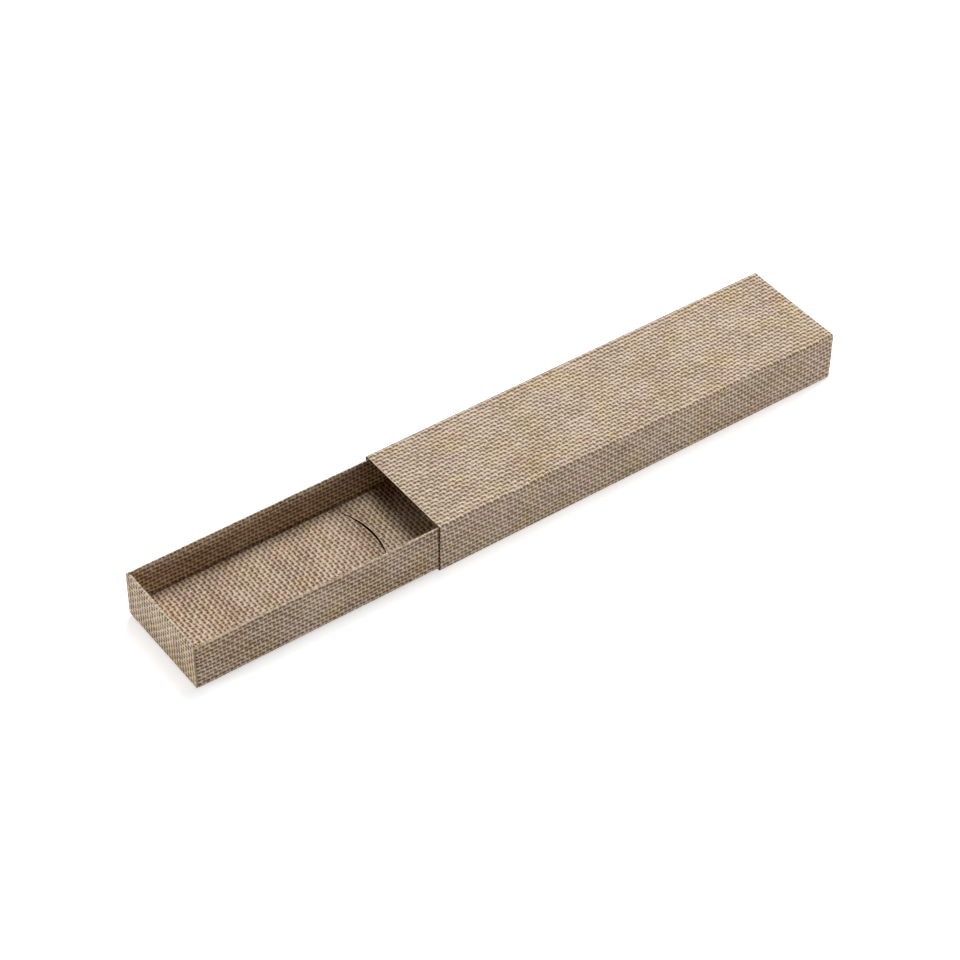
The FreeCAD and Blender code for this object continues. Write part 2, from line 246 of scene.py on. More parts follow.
@dataclass(frozen=True)
class WovenPrint(Paper):
    """Offset-printed plain weave on white-lined folding boxboard, under a matt water varnish.

    The eye sees an open linen: broad pale threads one way, finer ones crossing them over and
    under, and a small dark gap in every mesh.  The surface stays smooth, with a faint soft shine.
    """

    turn: float = 0.0  # degrees from the flat sheet's first axis to the broad threads
    cross: Threads = Threads(1.56, (0.17, 0.31), (0.2, 1.0), 0.0)
    broad: Threads = Threads(1.64, (0.24, 0.38), (0.62, 0.92), math.pi)
    skew: float = 5.0  # degrees that the cross threads lean
    offset: float = 0.0  # mm, so that no two sheets show the same part of the print
    # How a thread strays: how long each sway is in mm, its noise's detail, and its reach in mm
    sways: tuple[tuple[float, float, Triple], ...] = (
        (12.0, 2.0, (2.0, 1.6, 0.0)), (2.4, 1.0, (0.7, 0.5, 0.0)))
    slub: Triple = (7.3, 0.22, 1.0)  # how soon a thread's width changes, across and along
    slub_detail: float = 2.0  # here and below, how many finer noises add to a noise
    soft_edge: Place = (1.3, 0.35)  # of a thread's half width, where its body fades in
    fibre: Triple = (1.4, 0.2, 1.0)  # mm, a fibre's length and width
    fibre_detail: float = 3.0
    fibre_tones: Place = (0.78, 1.1)
    lit_slope: float = math.radians(60)  # phase of the light on the threads' slopes
    lit_share: float = 0.14
    blot: float = 1.3  # mm
    blot_detail: float = 1.0
    mottle: float = 0.13  # how unevenly the ink lies from mesh to mesh
    cloud: Triple = (16.0, 7.0, 1.0)  # mm, its length and width
    cloud_detail: float = 4.0
    clouding: float = 0.07  # and how much darker or paler a cloud is
    heights: tuple[float, ...] = (0.05, 0.38, 0.74, 0.98)  # where the next four colours lie
    gap: str = "#7b644b"
    thread_low: str = "#ab957e"
    thread_high: str = "#dfcab2"
    thread_crown: str = "#f1e2cf"
    bare: str = "#e9dcc6"  # the board's coating, shown where the ink is worn and as painted highlight on rims and lips
    speckle: float = 0.9  # how much the blots break up a pale place
    bared: Place = (0.7, 1.25)  # of wear, painted highlight and blots together, where the coating colour shows
    patch: float = 11.0  # mm, of mauve or straw
    patch_detail: float = 3.0
    mauve: str = "#c4b6cc"
    straw: str = "#c0b78f"
    tinted: Place = (0.45, 0.65)  # of a patch's noise, where its tint fades in
    tint_share: float = 0.5
    roughness: Place = (0.54, 0.68)
    depth: float = 0.02 * MM

    def pattern(self, add: Adder) -> Pattern:
        """Print the weave in millimetres of the flat sheet, with the broad threads along X.

        Args:
            add: adds a node to the material.

        Returns:
            Its colour, its roughness, its grain and how deep the grain is.
        """
        flat = add("Mapping", {
            "Vector": add("UVMap", uv_map=PRINT_MAP), "Location": (self.offset,) * 3,
            "Rotation": (0.0, 0.0, math.radians(self.turn)), "Scale": (1 / MM, 1 / MM, 1.0)})
        lift, fibre = self._weave(add, flat)
        roughness = add("MapRange", {"Value": fibre, **span("To", self.roughness)})
        return self._ink(add, flat, lift), roughness, fibre, self.depth

    def _weave(self, add: Adder, flat: Node) -> tuple[Node, Node]:
        """Lay the threads over and under each other.

        Args:
            add: adds a node to the material.
            flat: a point's place on the flat sheet, in millimetres.

        Returns:
            How high the thread at a point lies, from 0 in a gap to 1 on a crown, and the fibres.
        """
        swayed = flat
        for size, detail, reach in self.sways:
            sway = add("TexNoise", {"Vector": flat, "Scale": 1 / size, "Detail": detail})
            swayed = add("VectorMath", (sway.outputs["Color"], reach, swayed), operation="MULTIPLY_ADD")
        place = add("SeparateXYZ", {"Vector": swayed}).outputs
        lean = add("Math", (
            place["Y"], math.tan(math.radians(self.skew)), place["X"]), operation="MULTIPLY_ADD")
        cross = add("Math", (lean, 1 / self.cross.pitch), operation="MULTIPLY")
        broad = add("Math", (place["Y"], 1 / self.broad.pitch), operation="MULTIPLY")
        top = add("Math", (
            self._thread(add, self.cross, cross, broad), self._thread(add, self.broad, broad, cross)),
            operation="MAXIMUM")
        stretched = add("Mapping", {"Vector": swayed, "Scale": tuple(1 / size for size in self.fibre)})
        fibre = add("TexNoise", {
            "Vector": stretched, "Scale": 1.0, "Detail": self.fibre_detail})
        tone = add("MapRange", {
            "Value": fibre, **span("From", NOISE_SPAN), **span("To", self.fibre_tones)})
        fibrous = add("Math", (top, tone), operation="MULTIPLY")
        slope = self._height(add, cross, broad, self.lit_slope)
        lit = add("Math", (slope, self.lit_share, fibrous), operation="MULTIPLY_ADD")
        return lit, fibre

    def _thread(self, add: Adder, threads: Threads, over: Node, along: Node) -> Node:
        """Lay one set of threads, whose rounded bodies swell and thin along their length.

        Args:
            add: adds a node to the material.
            threads: the set.
            over: the place across these threads, in pitches.
            along: the place along them, in the pitches of the other set.

        Returns:
            How high a thread lies there, and 0 beside it.
        """
        index = add("Math", (over,), operation="ROUND")
        slub_place = add("CombineXYZ", {"X": index, "Y": along, "Z": self.offset})
        slub_place = add("VectorMath", (slub_place, self.slub), operation="MULTIPLY")
        slub = add("TexNoise", {
            "Vector": slub_place, "Scale": 1.0, "Detail": self.slub_detail})
        width = add("MapRange", {
            "Value": slub, **span("From", NOISE_SPAN), **span("To", threads.half_widths)})
        away = add("Math", (over, HALF), operation="PINGPONG")
        share = add("Math", (away, width), operation="DIVIDE")
        body = add("MapRange", {
            "Value": share, **span("From", self.soft_edge)}, interpolation_type="SMOOTHSTEP")
        tone = add("MapRange", {
            "Value": self._height(add, along, index, threads.phase), "From Min": -1.0,
            **span("To", threads.tones)})
        return add("Math", (body, tone), operation="MULTIPLY")

    def _height(self, add: Adder, along: Node, index: Node, phase: float) -> Node:
        """How a thread rises and dips as it crosses the other set.

        Args:
            add: adds a node to the material.
            along: the place along the thread, in the pitches of the other set.
            index: the thread's number in its own set, or a place between two threads.
            phase: how far the set is shifted, in radians.

        Returns:
            1 where it passes over, and -1 where it passes under.
        """
        turns = add("Math", (along, index), operation="ADD")
        angle = add("Math", (turns, math.pi, phase), operation="MULTIPLY_ADD")
        return add("Math", (angle,), operation="COSINE")

    def _ink(self, add: Adder, flat: Node, lift: Node) -> Socket:
        """Colour the weave, with cloudy darker, mauve and straw patches.

        Args:
            add: adds a node to the material.
            flat: a point's place on the flat sheet, in millimetres.
            lift: the weave's height.

        Returns:
            The colour's socket.
        """
        cloud_place = add("Mapping", {"Vector": flat, "Scale": tuple(1 / size for size in self.cloud)})
        cloud = add("TexNoise", {
            "Vector": cloud_place, "Scale": 1.0, "Detail": self.cloud_detail})
        blot = add("TexNoise", {
            "Vector": flat, "Scale": 1 / self.blot, "Detail": self.blot_detail})
        tone = lift
        for noise, reach in ((cloud, self.clouding), (blot, self.mottle)):
            uneven = add("MapRange", {
                "Value": noise, **span("From", NOISE_SPAN), **span("To", (-reach, reach))})
            tone = add("Math", (tone, uneven), operation="ADD")
        threads = add("ValToRGB", (tone,))
        stops = threads.color_ramp.elements
        stops[0].position, stops[1].position = self.heights[0], self.heights[-1]
        for height in self.heights[1:-1]:
            stops.new(height)
        inks = (self.gap, self.thread_low, self.thread_high, self.thread_crown)
        for stop, ink in zip(stops, inks):
            stop.color = linear(ink)
        patch = add("TexNoise", {
            "Vector": flat, "Scale": 1 / self.patch, "Detail": self.patch_detail})
        patches = add("SeparateColor", {"Color": patch.outputs["Color"]})
        colour = threads.outputs["Color"]
        for channel, tint in (("Red", self.mauve), ("Green", self.straw)):
            amount = add("MapRange", {
                "Value": patches.outputs[channel], **span("From", self.tinted),
                "To Max": self.tint_share})
            colour = add("Mix", {
                0: amount, 6: colour, 7: linear(tint)}, data_type="RGBA",
                blend_type="SOFT_LIGHT").outputs[2]
        # Painted highlight: the tray's rims and the lips of the mouth and the slit turn to the pale
        # coating colour, partly as worn ink.
        worn = add("Attribute", attribute_name=WEAR_AND_HIGHLIGHT)
        broken = add("Math", (blot, self.speckle, worn.outputs["Fac"]), operation="MULTIPLY_ADD")
        paled = add("MapRange", {"Value": broken, **span("From", self.bared)})
        return add("Mix", {0: paled, 6: colour, 7: linear(self.bare)}, data_type="RGBA").outputs[2]


@dataclass(frozen=True)
class BoardFibre(Paper):
    """Bare paper fibre: the unprinted back of the board, or its core where the die cut it.

    The eye sees a dull warm white with short, faint fibres and flecks, and on a cut edge the
    thin layers of the pressed board; on the sleeve and the insert they are a dark brown that also stands
    for painted shade in the gaps beside them.
    """

    pale: str
    dark: str
    grain: Triple = (0.5, 0.5, 0.5)  # mm, size of its fibres along each axis
    grain_detail: float = 5.0  # how many finer noises add to the fibres'
    grain_roughness: float = 0.6  # and how much each of them counts
    cloud: float = 12.0  # mm
    cloud_detail: float = 2.0
    darkened: Place = (0.7, 1.35)  # of grain and cloud together, from pale to dark
    roughness: float = 0.9
    depth: float = 0.03 * MM

    def pattern(self, add: Adder) -> Pattern:
        """Spread the fibres through the board, in Object coordinates.

        Args:
            add: adds a node to the material.

        Returns:
            Its colour, its roughness, its grain and how deep the grain is.
        """
        where = add("TexCoord").outputs["Object"]
        place = add("Mapping", {"Vector": where, "Scale": tuple(1 / (size * MM) for size in self.grain)})
        fibre = add("TexNoise", {
            "Vector": place, "Scale": 1.0, "Detail": self.grain_detail,
            "Roughness": self.grain_roughness})
        cloud = add("TexNoise", {
            "Vector": where, "Scale": 1 / (self.cloud * MM), "Detail": self.cloud_detail})
        tone = add("Math", (fibre, cloud), operation="ADD")
        share = add("MapRange", {"Value": tone, **span("From", self.darkened)})
        colour = add("Mix", {
            0: share, 6: linear(self.pale), 7: linear(self.dark)}, data_type="RGBA").outputs[2]
        return colour, self.roughness, fibre, self.depth


@dataclass
class Creases:
    """The printed face's outline across the creases of one strip of board.

    Each corner is (y, z, radius) in the strip's own plane, where the radius is that of the
    printed face round the fold.  The first and last corners are the strip's ends.
    """

    corners: list[Triple]
    steps: int = 8  # facets of the mesh round each fold
    wear: float = 0.0  # how pale a fold is painted: worn ink, and on the tray's rims painted highlight as well

    def stations(self, spacing: float, marks: Sequence[float] = ()) -> list[float]:
        """Lengths along the path where the mesh has a line.

        Args:
            spacing: the widest that flat board is left undivided.
            marks: further lengths that need a line.

        Returns:
            The lengths in order, from the path's start.
        """
        stations = []
        for start, flat_end, arc in self._runs():
            stations += spread(start, flat_end, spacing)
            stations += [flat_end + arc * (k + 1) / self.steps for k in range(self.steps)]
        return with_marks(stations, marks)

    def folds(self) -> list[Place]:
        """Where each fold starts and ends along the path, in order."""
        return [(flat_end, flat_end + arc) for _, flat_end, arc in self._runs()[:-1]]

    def worn(self, v: float) -> float:
        """How pale the path is painted, for worn ink and painted highlight: most in the middle of a
        bend.

        Args:
            v: a length along the path.

        Returns:
            The share that is lost there, 0 on flat board.
        """
        bends: list[Place] = []
        for start, end in self.folds():
            if bends and start - bends[-1][1] < JOIN_DISTANCE:
                start = bends.pop()[0]
            bends.append((start, end))
        shares = [1 - abs(2 * (v - start) / (end - start) - 1) for start, end in bends]
        return self.wear * max([0.0, *shares])

    def length(self) -> float:
        """The path's whole length."""
        return self._runs()[-1][1]

    def curve(self) -> Piece:
        """The corners as a curve whose point radius is the fold's radius.

        Returns:
            A helper object, to be removed after use.
        """
        data = configured(bpy.data.curves.new("creases", "CURVE"), dimensions="3D")
        spline = data.splines.new("POLY")
        spline.points.add(len(self.corners) - 1)
        for point, (y, z, radius) in zip(spline.points, self.corners):
            configured(point, co=(0.0, y, z, 1.0), radius=radius)
        return linked("creases", data)

    def _runs(self) -> list[Triple]:
        """Divide the path into its flat runs.

        Returns:
            Where each run starts and ends along the path, and the arc of the fold after it.
        """
        runs, at = [], 0.0
        for i in range(1, len(self.corners)):
            run = (Vector(self.corners[i][:2]) - Vector(self.corners[i - 1][:2])).length
            flat_end = at + (run - self._tangent(i - 1) - self._tangent(i))
            arc = self.corners[i][2] * self._turn(i)
            runs.append((at, flat_end, arc))
            at = flat_end + arc
        return runs

    def _turn(self, i: int) -> float:
        """How far the path turns at a corner.

        Args:
            i: the corner's number.

        Returns:
            The angle in radians, 0 at the path's ends.
        """
        if i in (0, len(self.corners) - 1):
            return 0.0
        before, here, after = (Vector(c[:2]) for c in self.corners[i - 1:i + 2])
        return (here - before).angle(after - here)

    def _tangent(self, i: int) -> float:
        """How much of the straight run the fold at corner i takes on each side of it."""
        return self.corners[i][2] * math.tan(self._turn(i) / 2)


def spread(low: float, high: float, spacing: float) -> list[float]:
    """Even steps from low to high, none wider than spacing."""
    count = max(1, math.ceil((high - low) / spacing - ROUNDING))
    return [low + (high - low) * k / count for k in range(count + 1)]


def with_marks(lines: Sequence[float], marks: Sequence[float]) -> list[float]:
    """Put lines and marks in order, where a mark takes the place of any line close to it.

    Args:
        lines: where a mesh would have its lines.
        marks: where it has to have one.

    Returns:
        All of them, in order.
    """
    near = 2 * JOIN_DISTANCE
    kept = [x for x in lines if all(abs(x - m) > near for m in marks)]
    return sorted({*kept, *marks})


def linked(name: str, data: bpy.types.ID) -> Piece:
    """Put a new object in the scene, at the origin.

    Args:
        name: the object's name.
        data: its mesh, curve, light or camera.

    Returns:
        The object.
    """
    made = bpy.data.objects.new(name, data)
    bpy.context.scene.collection.objects.link(made)
    return made


def baked(piece: Piece) -> bpy.types.Mesh:
    """A new mesh of an object with its modifiers applied."""
    graph = bpy.context.evaluated_depsgraph_get()
    return bpy.data.meshes.new_from_object(piece.evaluated_get(graph))


def unmoved(u: float, v: float) -> Place:
    """Leave a point of a strip where it is."""
    return u, v


@dataclass
class Strip:
    """One strip of a sheet, whose u runs along its creases and v across them."""

    creases: Creases
    u_lines: list[float]
    v_lines: list[float]
    print_at: Callable[[float, float], Place]  # a point's place on the flat sheet
    keep: Callable[[float, float], bool] = lambda u, v: True  # by the middle of a grid's cell
    shape: Callable[[float, float], Place] = unmoved  # moves the grid's points to a cut's line
    rubbed: Callable[[float, float], float] = lambda u, v: 0.0  # pale paint beside the folds', for worn ink and painted highlight
    turn: Triple = (0.0, 0.0, 0.0)
    mirror: Triple = (1.0, 1.0, 1.0)
    place: Triple = (0.0, 0.0, 0.0)

    def flat(self) -> bpy.types.Mesh:
        """Lay the strip out flat.

        Returns:
            A mesh in the XY plane with the print's map and its worn places.
        """
        points: dict[tuple[int, int], int] = {}
        faces = []
        for i, j in product(range(len(self.u_lines) - 1), range(len(self.v_lines) - 1)):
            u = (self.u_lines[i] + self.u_lines[i + 1]) / 2
            v = (self.v_lines[j] + self.v_lines[j + 1]) / 2
            if self.keep(u, v):
                cell = ((i, j), (i + 1, j), (i + 1, j + 1), (i, j + 1))
                faces.append([points.setdefault(corner, len(points)) for corner in cell])
        places = [self.shape(self.u_lines[i], self.v_lines[j]) for i, j in points]
        mesh = bpy.data.meshes.new("flat_strip")
        mesh.from_pydata([(u, v, 0.0) for u, v in places], [], faces)
        prints = mesh.uv_layers.new(name=PRINT_MAP)
        for loop in mesh.loops:
            prints.data[loop.index].uv = self.print_at(*places[loop.vertex_index])
        wear_and_highlight_points = mesh.attributes.new(WEAR_AND_HIGHLIGHT, "FLOAT", "POINT")
        for point, (u, v) in zip(wear_and_highlight_points.data, places):
            point.value = max(self.creases.worn(v), self.rubbed(u, v))
        return mesh

    def folded(self, tree: Tree, finish: Material) -> bpy.types.Mesh:
        """Fold the strip.

        Args:
            tree: the folding tree.
            finish: the material of its printed face.

        Returns:
            The folded surface, without thickness.
        """
        path = self.creases.curve()
        flat = linked("flat_strip", self.flat())
        fold = configured(flat.modifiers.new("fold", "NODES"), node_group=tree)
        values = {
            "Creases": path, "Turn": self.turn, "Mirror": self.mirror, "Place": self.place,
            "Finish": finish}
        for item in tree.interface.items_tree:
            if item.name in values:
                fold[item.identifier] = values[item.name]
        mesh = baked(flat)
        for helper in (flat, path):
            bpy.data.objects.remove(helper)
        return mesh


def folding_tree(path_steps: int = 24) -> Tree:
    """Geometry Nodes that fold a flat strip round its creases and turn it into place.

    Args:
        path_steps: facets of the path round each fold, finer than the mesh's.

    Returns:
        The tree, whose inputs are the strip, its creases, its placing and its finish.
    """
    tree = bpy.data.node_groups.new("fold_strip", "GeometryNodeTree")
    for name, kind in (
            ("Geometry", "Geometry"), ("Creases", "Object"), ("Turn", "Vector"),
            ("Mirror", "Vector"), ("Place", "Vector"), ("Finish", "Material")):
        tree.interface.new_socket(name, in_out="INPUT", socket_type=f"NodeSocket{kind}")
    tree.interface.new_socket("Geometry", in_out="OUTPUT", socket_type="NodeSocketGeometry")
    add = partial(add_node, tree)
    given = add("NodeGroupInput").outputs
    creases = add("GeometryNodeObjectInfo", {"Object": given["Creases"]})
    path = add("GeometryNodeFilletCurve", {
        "Curve": creases.outputs["Geometry"], "Count": path_steps,
        "Radius": add("GeometryNodeInputRadius")}, mode="POLY")
    place = add("GeometryNodeInputPosition")
    flat = add("SeparateXYZ", {"Vector": place}).outputs
    on_path = add("GeometryNodeSampleCurve", {
        "Curves": path, "Length": flat["Y"]}, mode="LENGTH", use_all_curves=True)
    along = add("CombineXYZ", {"X": flat["X"]})
    folded_place = add("VectorMath", (on_path.outputs["Position"], along), operation="ADD")
    folded = add("GeometryNodeSetPosition", {"Geometry": given["Geometry"], "Position": folded_place})
    turn = add("FunctionNodeEulerToRotation", {"Euler": given["Turn"]})
    turned = add("GeometryNodeTransform", {"Geometry": folded, "Rotation": turn})
    placed = add("GeometryNodeTransform", {
        "Geometry": turned, "Translation": given["Place"], "Scale": given["Mirror"]})
    real = add("GeometryNodeRealizeInstances", {"Geometry": placed})
    dressed = add("GeometryNodeSetMaterial", {"Geometry": real, "Material": given["Finish"]})
    add("NodeGroupOutput", {"Geometry": dressed})
    return tree


@dataclass
class FoldedPart:
    """A part folded from one sheet, laid out about its middle with its underside at height 0."""

    tree: Tree  # folds a strip
    finishes: Finishes
    body: str
    board: float = 0.45 * MM
    thinned: float = JOIN_DISTANCE  # off the board, so that glued panels don't share a plane
    fold: float = 0.65 * MM
    edge_round: float = 0.0  # how far the die leaves the cut edges rounded
    round_segments: int = 2
    round_from: float = 60.0  # degrees between faces at an edge that is rounded
    sharp_from: float = 35.0  # and at one that isn't shaded smooth
    spacing: float = 4.0 * MM  # of the mesh's lines on flat board

    def __post_init__(self) -> None:
        """Take the part's size from the frame."""
        self.nodes = [n for n, o in frame["nodes"].items() if o["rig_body"] == self.body]
        boxes = [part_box(n) for n in self.nodes]
        low = Vector(min(box[0][i] for box in boxes) for i in range(3))
        high = Vector(max(box[1][i] for box in boxes) for i in range(3))
        self.middle = Vector(((low.x + high.x) / 2, (low.y + high.y) / 2, low.z))
        self.half_length = (high.x - low.x) / 2
        self.half_width = (high.y - low.y) / 2
        self.height = high.z - low.z
        self.flat_end = self.half_length - self.fold

    def across_end(self, end: Wall, strip: Strip) -> Strip:
        """Turn a strip to run across an end, where it carries on from the flat board."""
        place = (end.value * self.flat_end, 0.0, 0.0)
        return replace(strip, turn=QUARTER_TURN, mirror=(-end.value, 1.0, 1.0), place=place)

    def folded(self, name: str, strips: Sequence[Strip]) -> Piece:
        """Fold and join strips, and give the sheet its thickness and its place.

        Args:
            name: the piece's name.
            strips: all of its strips.

        Returns:
            The finished piece, with its place in its mesh.
        """
        joined = bmesh.new()
        for strip in strips:
            joined.from_mesh(strip.folded(self.tree, self.finishes[Side.PRINTED]))
        bmesh.ops.remove_doubles(joined, verts=joined.verts, dist=JOIN_DISTANCE)
        bmesh.ops.dissolve_degenerate(joined, edges=joined.edges, dist=HAIR)
        bmesh.ops.recalc_face_normals(joined, faces=joined.faces)
        highest = max(joined.faces, key=lambda f: (f.calc_center_median().z, f.calc_area()))
        if highest.normal.z < 0:
            bmesh.ops.reverse_faces(joined, faces=joined.faces)
        mesh = bpy.data.meshes.new(name)
        joined.to_mesh(mesh)
        joined.free()
        mesh.transform(Matrix.Translation(self.middle))
        for side in Side:
            mesh.materials.append(self.finishes[side])
        piece = linked(name, mesh)
        configured(
            piece.modifiers.new("board", "SOLIDIFY"), thickness=self.board - self.thinned,
            offset=-1.0, use_even_offset=True, use_quality_normals=True,
            material_offset=Side.PLAIN.value, material_offset_rim=Side.CUT.value)
        if self.edge_round:
            configured(
                piece.modifiers.new("die_cut_edge", "BEVEL"), width=self.edge_round,
                segments=self.round_segments, limit_method="ANGLE",
                angle_limit=math.radians(self.round_from))
        piece.data = configured(baked(piece), name=name)
        piece.modifiers.clear()
        piece.data.shade_smooth()
        piece.data.set_sharp_from_angle(angle=math.radians(self.sharp_from))
        return piece


@dataclass
class Sleeve(FoldedPart):
    """The flat tube: four panels, and a glue flap inside the far side."""

    body: str = "sleeve"
    board: float = 0.5 * MM
    fold: float = 1.1 * MM
    flap_height: float = 15.0 * MM
    flap_taper: float = 4.0 * MM  # how far the flap's ends slant back
    edge_round: float = 0.07 * MM
    mouth_wear: float = 1.0  # how pale the mouth's lip is painted: ink a thumb rubs, and painted highlight on its top edge
    mouth_wear_width: float = 0.5 * MM

    def build(self) -> Piece:
        """Fold the sleeve's sheet.

        Returns:
            The sleeve, riding on its body.
        """
        mouth, w, h = self.half_length, self.half_width, self.height
        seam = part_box("sleeve_far_side")[0].z - self.middle.z
        flap = w - self.board
        creases = Creases([
            (flap, self.flap_height, 0.0), (flap, 0.0, self.fold), (-w, 0.0, self.fold),
            (-w, h, self.fold), (w, h, self.fold), (w, seam, 0.0)])
        folds = creases.folds()

        def slanted(u: float, v: float) -> Place:
            """Slant the flap's ends."""
            share = max(0.0, 1 - v / folds[0][0])
            return u * (1 - share * self.flap_taper / mouth), v

        def rubbed(u: float, v: float) -> float:
            """The lip of the top panel and of the bottom one is painted pale: worn ink and painted
            highlight.
            """
            on_panel = folds[0][1] < v < folds[1][0] or folds[2][1] < v < folds[3][0]
            return self.mouth_wear if on_panel and abs(u) > mouth - JOIN_DISTANCE else 0.0

        lips = [sign * (mouth - self.mouth_wear_width) for sign in (-1, 1)]
        strip = Strip(
            creases, with_marks(spread(-mouth, mouth, self.spacing), lips),
            creases.stations(self.spacing), print_at=unmoved, shape=slanted, rubbed=rubbed)
        piece = self.folded("sleeve_sheet", [strip])
        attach(piece, "sleeve")
        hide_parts(*self.nodes)
        return piece


@dataclass
class Tray(FoldedPart):
    """The drawer: a base panel, four walls rolled over at the rim, and corner tabs between them.

    The printed side faces down under the base, so the print's second axis runs against +Y.
    """

    body: str = "tray"
    corner_relief: float = 0.4 * MM  # how far the roll-overs stop short of each other
    corner_drop: float = 0.1 * MM  # of the rim's corners below its roll-overs
    tab_length: float = 15.0 * MM
    tab_taper: float = 3.0 * MM
    tab_play: float = 0.3 * MM
    lock_width: float = 9.0 * MM
    lock_spacing: float = 20.0 * MM
    lock_play: float = 0.12 * MM
    side_wear: float = 0.45  # how pale a long wall's rim is painted: worn ink and painted highlight on its top
    # how pale an end wall's rim is painted: worn ink and painted highlight on its top
    end_wear: float = 0.65

    def __post_init__(self) -> None:
        """Work out where the walls, tabs and slots start and end."""
        super().__post_init__()
        self.inner_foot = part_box("tray_near_inner_wall")[0].z - self.middle.z
        self.side_wall = 2 * self.board
        self.end_wall = 3 * self.board
        self.side_rim = self.side_wall / 2 - HAIR
        self.end_rim = self.end_wall / 2 - HAIR
        self.fold_end = self.flat_end - self.board
        self.side_start = self.fold_end - self.corner_relief
        self.end_start = self.half_width - self.side_wall - self.corner_relief
        self.tab_low = self.fold + self.tab_play
        self.tab_high = self.height - self.end_wall / 2 - self.tab_play
        self.ear_top = self.height - self.corner_drop
        lock_edges = [
            sign * self.lock_spacing / 2 + side * (self.lock_width / 2 + play)
            for sign in (-1, 1) for side in (-1, 1) for play in (0.0, self.lock_play)]
        self.slot_out = self.half_length - self.side_wall + self.lock_play
        self.slot_in = self.slot_out - self.board - 2 * self.lock_play
        # The mesh's lines up a long wall, and across the base and the end walls alike
        levels = spread(self.fold, self.height - self.side_rim, self.spacing)
        self.wall_levels = with_marks(levels, [self.tab_low, self.tab_high])
        flat = self.half_width - self.fold
        marks = [*lock_edges, -self.end_start, self.end_start]
        across = with_marks(spread(-flat, flat, self.spacing), marks)
        self.across_lines = [-self.half_width, *across, self.half_width]

    def from_lock(self, across: float) -> float:
        """How far a place across the tray is from the middle of the nearest locking tab."""
        return abs(abs(across) - self.lock_spacing / 2)

    def long_strip(self) -> Strip:
        """The base with both long walls, rolled over inwards.

        Returns:
            The strip that runs the tray's length.
        """
        w, h, rim = self.half_width, self.height, self.side_rim
        creases = Creases([
            (-w + self.side_wall, self.inner_foot, 0.0), (-w + self.side_wall, h, rim),
            (-w, h, rim), (-w, 0.0, self.fold), (w, 0.0, self.fold), (w, h, rim),
            (w - self.side_wall, h, rim), (w - self.side_wall, self.inner_foot, 0.0)],
            wear=self.side_wear)
        folds = creases.folds()
        base_from, base_to = folds[2][1], folds[3][0]
        self.base_middle = (base_from + base_to) / 2
        self.wall_foot = {Wall.LOW: folds[2][0], Wall.HIGH: folds[3][1]}
        marks = [self.base_middle + y for y in self.across_lines[1:-1]]
        marks += [
            foot + side.value * (z - self.fold)
            for side, foot in self.wall_foot.items() for z in self.wall_levels]
        u_marks = [
            end.value * x for end in Wall
            for x in (self.flat_end, self.slot_out, self.slot_in, self.fold_end, self.side_start)]

        def keep(u: float, v: float) -> bool:
            """The base is longest, its folds are shorter and the walls shortest.

            Args:
                u: a place along the tray.
                v: a place across the creases.

            Returns:
                Whether the die leaves board there.
            """
            if base_from < v < base_to:
                beside = self.from_lock(v - self.base_middle) > self.lock_width / 2 + self.lock_play
                return beside or not self.slot_in < abs(u) < self.slot_out
            if self.wall_foot[Wall.LOW] < v < self.wall_foot[Wall.HIGH]:
                return abs(u) < self.fold_end
            return abs(u) < self.side_start

        return Strip(
            creases, with_marks(spread(-self.side_start, self.side_start, self.spacing), u_marks),
            creases.stations(self.spacing, marks), print_at=lambda u, v: (u, -v), keep=keep)

    def end_strips(self, end: Wall) -> list[Strip]:
        """An end wall with its roll-over and locking tabs, and its two corner ears.

        Args:
            end: the front or the rear end.

        Returns:
            The strip that folds, and the flat one of the ears.
        """
        h, rim, inside = self.height, self.end_rim, self.fold - self.end_wall
        creases = Creases([
            (0.0, 0.0, 0.0), (self.fold + HAIR, 0.0, self.fold), (self.fold, h, rim),
            (inside, h, rim), (inside, 0.0, 0.0)], wear=self.end_wear)
        (_, fold_to), (rim_from, _), _ = creases.folds()
        lock_from = creases.length() - self.board

        def keep(u: float, v: float) -> bool:
            """The outer wall is full width, the roll-over stops short and ends in two tabs.

            Args:
                u: a place across the tray.
                v: how far it is from the base, across the creases.

            Returns:
                Whether the die leaves board there.
            """
            if v < fold_to:
                return abs(u) < self.half_width - self.fold
            if v < rim_from:
                return True
            if v < lock_from:
                return abs(u) < self.end_start
            return self.from_lock(u) < self.lock_width / 2

        def print_from(start: float) -> Callable[[float, float], Place]:
            """The print of a strip that starts this far past the end of the flat base."""
            reach = self.flat_end + start
            return lambda u, v: (end.value * (reach + v), -self.base_middle - u)

        lines = creases.stations(self.spacing, [lock_from])
        wall = Strip(creases, self.across_lines, lines, print_from(0.0), keep)
        ears = Creases([(self.fold, h - rim, 0.0), (self.fold, self.ear_top, 0.0)])
        ear = Strip(
            ears, self.across_lines, ears.stations(self.spacing), print_from(rim_from),
            lambda u, v: abs(u) > self.end_start)
        return [self.across_end(end, wall), self.across_end(end, ear)]

    def corner_strip(self, end: Wall, side: Wall) -> Strip:
        """The tab that folds round a corner from a long wall, with the long wall's own ear.

        Args:
            end: the front or the rear end.
            side: the near or the far wall.

        Returns:
            The strip, whose creases are upright.
        """
        run = self.half_length - self.board - self.side_start
        creases = Creases([(0.0, 0.0, 0.0), (run, 0.0, self.fold), (run, -self.tab_length, 0.0)])
        (fold_from, fold_to), = creases.folds()
        taper_from = creases.length() - self.tab_taper

        def keep(u: float, v: float) -> bool:
            """The wall's end is full height, and the tab is cut clear above and below."""
            return v < fold_from or u > self.tab_low and (v < fold_to or u < self.tab_high)

